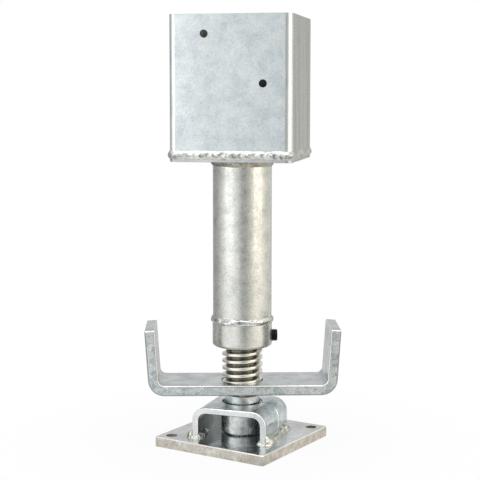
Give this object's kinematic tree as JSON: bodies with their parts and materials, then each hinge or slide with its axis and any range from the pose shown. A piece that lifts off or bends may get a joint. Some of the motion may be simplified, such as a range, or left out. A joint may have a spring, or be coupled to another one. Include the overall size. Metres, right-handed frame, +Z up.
{
  "type": "adjustable jack post base",
  "caption": "Post foot with a square ground plate, a captive trapezoidal screw turned by a U-shaped bar, a round nut and tube, and an open square box head for a post.",
  "frame": {"origin": "on the spindle's axis, on the underside of the base plate", "axes": "+Z up along the spindle; X and Y square to the post box, -Y towards the front wall with the screw holes"},
  "size_m": [0.1998, 0.16, 0.4205],
  "materials": {
    "galvanised_steel": "hot-dip galvanised",
    "spindle_steel": "rolled thread, galvanised",
    "black_steel": "black oxide"
  },
  "bodies": {
    "base": {"base_plate": "galvanised_steel", "bridge_front": "galvanised_steel", "bridge_back": "galvanised_steel", "bridge_weld_left": "galvanised_steel", "bridge_weld_right": "galvanised_steel"},
    "screw": {"spindle": "spindle_steel", "yoke": "galvanised_steel", "yoke_weld": "galvanised_steel"},
    "head": {"nut_collar": "galvanised_steel", "collar_weld": "galvanised_steel", "tube": "galvanised_steel", "tube_weld": "galvanised_steel", "head_plate": "galvanised_steel", "box_weld": "galvanised_steel", "post_box": "galvanised_steel"},
    "lock": {"lock_screw": "black_steel"}
  },
  "joints": [
    {"name": "spindle_turn", "type": "hinge", "parent": "base", "child": "screw", "pos_m": [0, 0, 0], "axis": [0, 0, 1], "range_deg": [-2571, 1542]},
    {"name": "head_slide", "type": "slide", "parent": "base", "child": "head", "axis": [0, 0, 1], "range_m": [-0.03, 0.05]},
    {"name": "lock_screw_slide", "type": "slide", "parent": "head", "child": "lock", "axis": [0.9781, 0.2079, 0], "range_m": [0, 0.005]}
  ],
  "couplings": [
    {"joint": "head_slide", "follows": "spindle_turn", "m_per_rad": -0.0011141}
  ]
}
